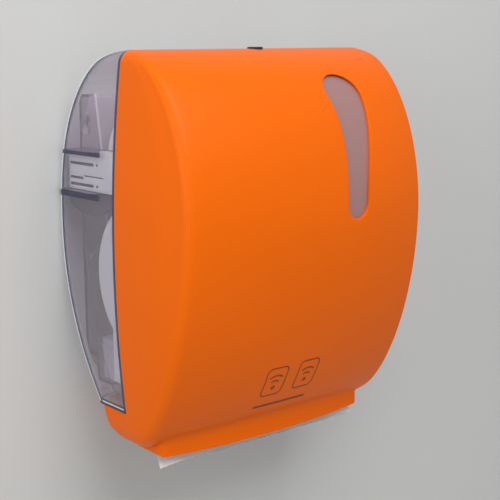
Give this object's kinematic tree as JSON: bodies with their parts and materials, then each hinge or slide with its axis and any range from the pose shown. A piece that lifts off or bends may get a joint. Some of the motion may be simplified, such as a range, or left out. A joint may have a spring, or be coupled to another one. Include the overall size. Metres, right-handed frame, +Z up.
{
  "type": "sensor paper towel dispenser",
  "caption": "Wall-mounted hands-free roll towel dispenser with a curved hinged front cover over a smoked translucent back tray.",
  "frame": {"origin": "On the wall plane, in the middle of the wall pad's width, 161 mm above the tray's floor.", "axes": "+X to the viewer's right, -Y away from the wall toward the user, +Z up."},
  "size_m": [0.3356, 0.221, 0.4134],
  "materials": {
    "orange_plastic": "satin moulded",
    "smoke_plastic": "smoked translucent, polished",
    "window_plastic": "smoked translucent, polished",
    "black_plastic": "satin",
    "white_plastic": "satin moulded",
    "gear_nylon": "natural",
    "grey_plastic": "satin",
    "roller_rubber": "ground matt",
    "steel": "bright zinc",
    "paper": "soft uncoated",
    "card": "spiral wound",
    "board": "solder mask",
    "cell_sleeve": "shrink sleeve",
    "sensor_lens": "polished"
  },
  "bodies": {
    "chassis": {"wall_tray": "smoke_plastic", "lock_catch": "steel", "wall_screw_1": "steel", "wall_screw_2": "steel", "wall_screw_3": "steel", "wall_screw_4": "steel", "hinge_pin_left": "steel", "hinge_pin_right": "steel", "side_frame_left": "white_plastic", "side_frame_right": "white_plastic", "drive_cover": "white_plastic", "bridge_plate": "white_plastic", "gear_motor": "steel", "reduction_axle": "steel", "idler_axle": "steel", "drive_bush_left": "gear_nylon", "drive_bush_right": "gear_nylon", "pinch_spring_left": "steel", "pinch_spring_right": "steel", "outlet_chute": "white_plastic", "blade_carrier": "white_plastic", "tear_blade": "steel", "sensor_window": "sensor_lens", "circuit_board": "board", "battery_box": "white_plastic", "battery_cell_1": "cell_sleeve", "battery_cell_2": "cell_sleeve", "battery_cell_3": "cell_sleeve", "battery_cell_4": "cell_sleeve", "contact_left": "steel", "contact_right": "steel", "control_box": "grey_plastic", "towel_web": "paper"},
    "cover": {"cover_shell": "orange_plastic", "window_panel": "window_plastic"},
    "lock": {"lock_barrel": "black_plastic"},
    "arm_left": {"roll_arm_left": "white_plastic"},
    "arm_right": {"roll_arm_right": "white_plastic"},
    "hub_left": {"roll_hub_left": "white_plastic"},
    "hub_right": {"roll_hub_right": "white_plastic"},
    "roll": {"towel_roll": "paper", "roll_core": "card"},
    "drive": {"drive_shaft": "steel", "drive_roller": "roller_rubber", "roller_gear": "gear_nylon"},
    "pinch_carrier": {"pinch_bush_left": "gear_nylon", "pinch_bush_right": "gear_nylon"},
    "pinch": {"pinch_roller": "grey_plastic"},
    "idler": {"idler_gear": "gear_nylon"},
    "reduction": {"reduction_gear": "gear_nylon"},
    "pinion": {"motor_pinion": "gear_nylon"},
    "battery_lid": {"battery_door": "white_plastic"},
    "feed": {"feed_button": "black_plastic"},
    "power": {"power_switch": "black_plastic"}
  },
  "joints": [
    {"name": "cover_hinge", "type": "hinge", "parent": "chassis", "child": "cover", "pos_m": [0, -0.058, -0.1662], "axis": [1, 0, 0], "range_deg": [0, 80], "deforming": ["towel_web"]},
    {"name": "lock_turn", "type": "hinge", "parent": "cover", "child": "lock", "pos_m": [0, -0.117, 0.176], "axis": [0, 0, 1], "range_deg": [0, 90]},
    {"name": "arm_left_flex", "type": "hinge", "parent": "chassis", "child": "arm_left", "pos_m": [-0.156, -0.008, 0.0705], "axis": [0, 0, -1], "range_deg": [0, 4.2], "stiffness_Nm_per_rad": 20},
    {"name": "arm_right_flex", "type": "hinge", "parent": "chassis", "child": "arm_right", "pos_m": [0.156, -0.008, 0.0705], "axis": [0, 0, 1], "range_deg": [0, 4.2], "stiffness_Nm_per_rad": 20},
    {"name": "roll_spin", "type": "hinge", "parent": "chassis", "child": "roll", "pos_m": [0, -0.112, 0.0705], "axis": [1, 0, 0], "continuous": true},
    {"name": "hub_left_spin", "type": "hinge", "parent": "arm_left", "child": "hub_left", "pos_m": [-0.133, -0.112, 0.0705], "axis": [1, 0, 0], "continuous": true},
    {"name": "hub_right_spin", "type": "hinge", "parent": "arm_right", "child": "hub_right", "pos_m": [0.133, -0.112, 0.0705], "axis": [1, 0, 0], "continuous": true},
    {"name": "drive_spin", "type": "hinge", "parent": "chassis", "child": "drive", "pos_m": [0, -0.098, -0.1165], "axis": [1, 0, 0], "continuous": true},
    {"name": "pinch_slide", "type": "slide", "parent": "chassis", "child": "pinch_carrier", "axis": [0, -1, 0], "range_m": [0, 0.0025], "stiffness_N_per_m": 1500, "deforming": ["pinch_spring_left", "pinch_spring_right"]},
    {"name": "pinch_spin", "type": "hinge", "parent": "pinch_carrier", "child": "pinch", "pos_m": [0, -0.1221, -0.1165], "axis": [1, 0, 0], "continuous": true},
    {"name": "idler_spin", "type": "hinge", "parent": "chassis", "child": "idler", "pos_m": [-0.1465, -0.11005, -0.06849], "axis": [1, 0, 0], "continuous": true},
    {"name": "reduction_spin", "type": "hinge", "parent": "chassis", "child": "reduction", "pos_m": [-0.1445, -0.111, -0.028], "axis": [1, 0, 0], "continuous": true},
    {"name": "pinion_spin", "type": "hinge", "parent": "chassis", "child": "pinion", "pos_m": [-0.1427, -0.09262, -0.06742], "axis": [1, 0, 0], "continuous": true},
    {"name": "battery_lid_hinge", "type": "hinge", "parent": "chassis", "child": "battery_lid", "pos_m": [0, -0.0278, -0.1083], "axis": [-1, 0, 0], "range_deg": [0, 80]},
    {"name": "feed_press", "type": "slide", "parent": "chassis", "child": "feed", "axis": [0, 1, 0], "range_m": [0, 0.0015], "stiffness_N_per_m": 400},
    {"name": "power_rock", "type": "hinge", "parent": "chassis", "child": "power", "pos_m": [0.1486, -0.13, -0.022], "axis": [1, 0, 0], "range_deg": [0, 14]}
  ],
  "couplings": [
    {"joint": "hub_left_spin", "follows": "roll_spin", "ratio": 1},
    {"joint": "hub_right_spin", "follows": "roll_spin", "ratio": 1},
    {"joint": "drive_spin", "follows": "roll_spin", "ratio": 4.6667},
    {"joint": "pinch_spin", "follows": "roll_spin", "ratio": -8.75},
    {"joint": "idler_spin", "follows": "roll_spin", "ratio": -2.6667},
    {"joint": "reduction_spin", "follows": "roll_spin", "ratio": 9.3333},
    {"joint": "pinion_spin", "follows": "roll_spin", "ratio": -44.8}
  ]
}
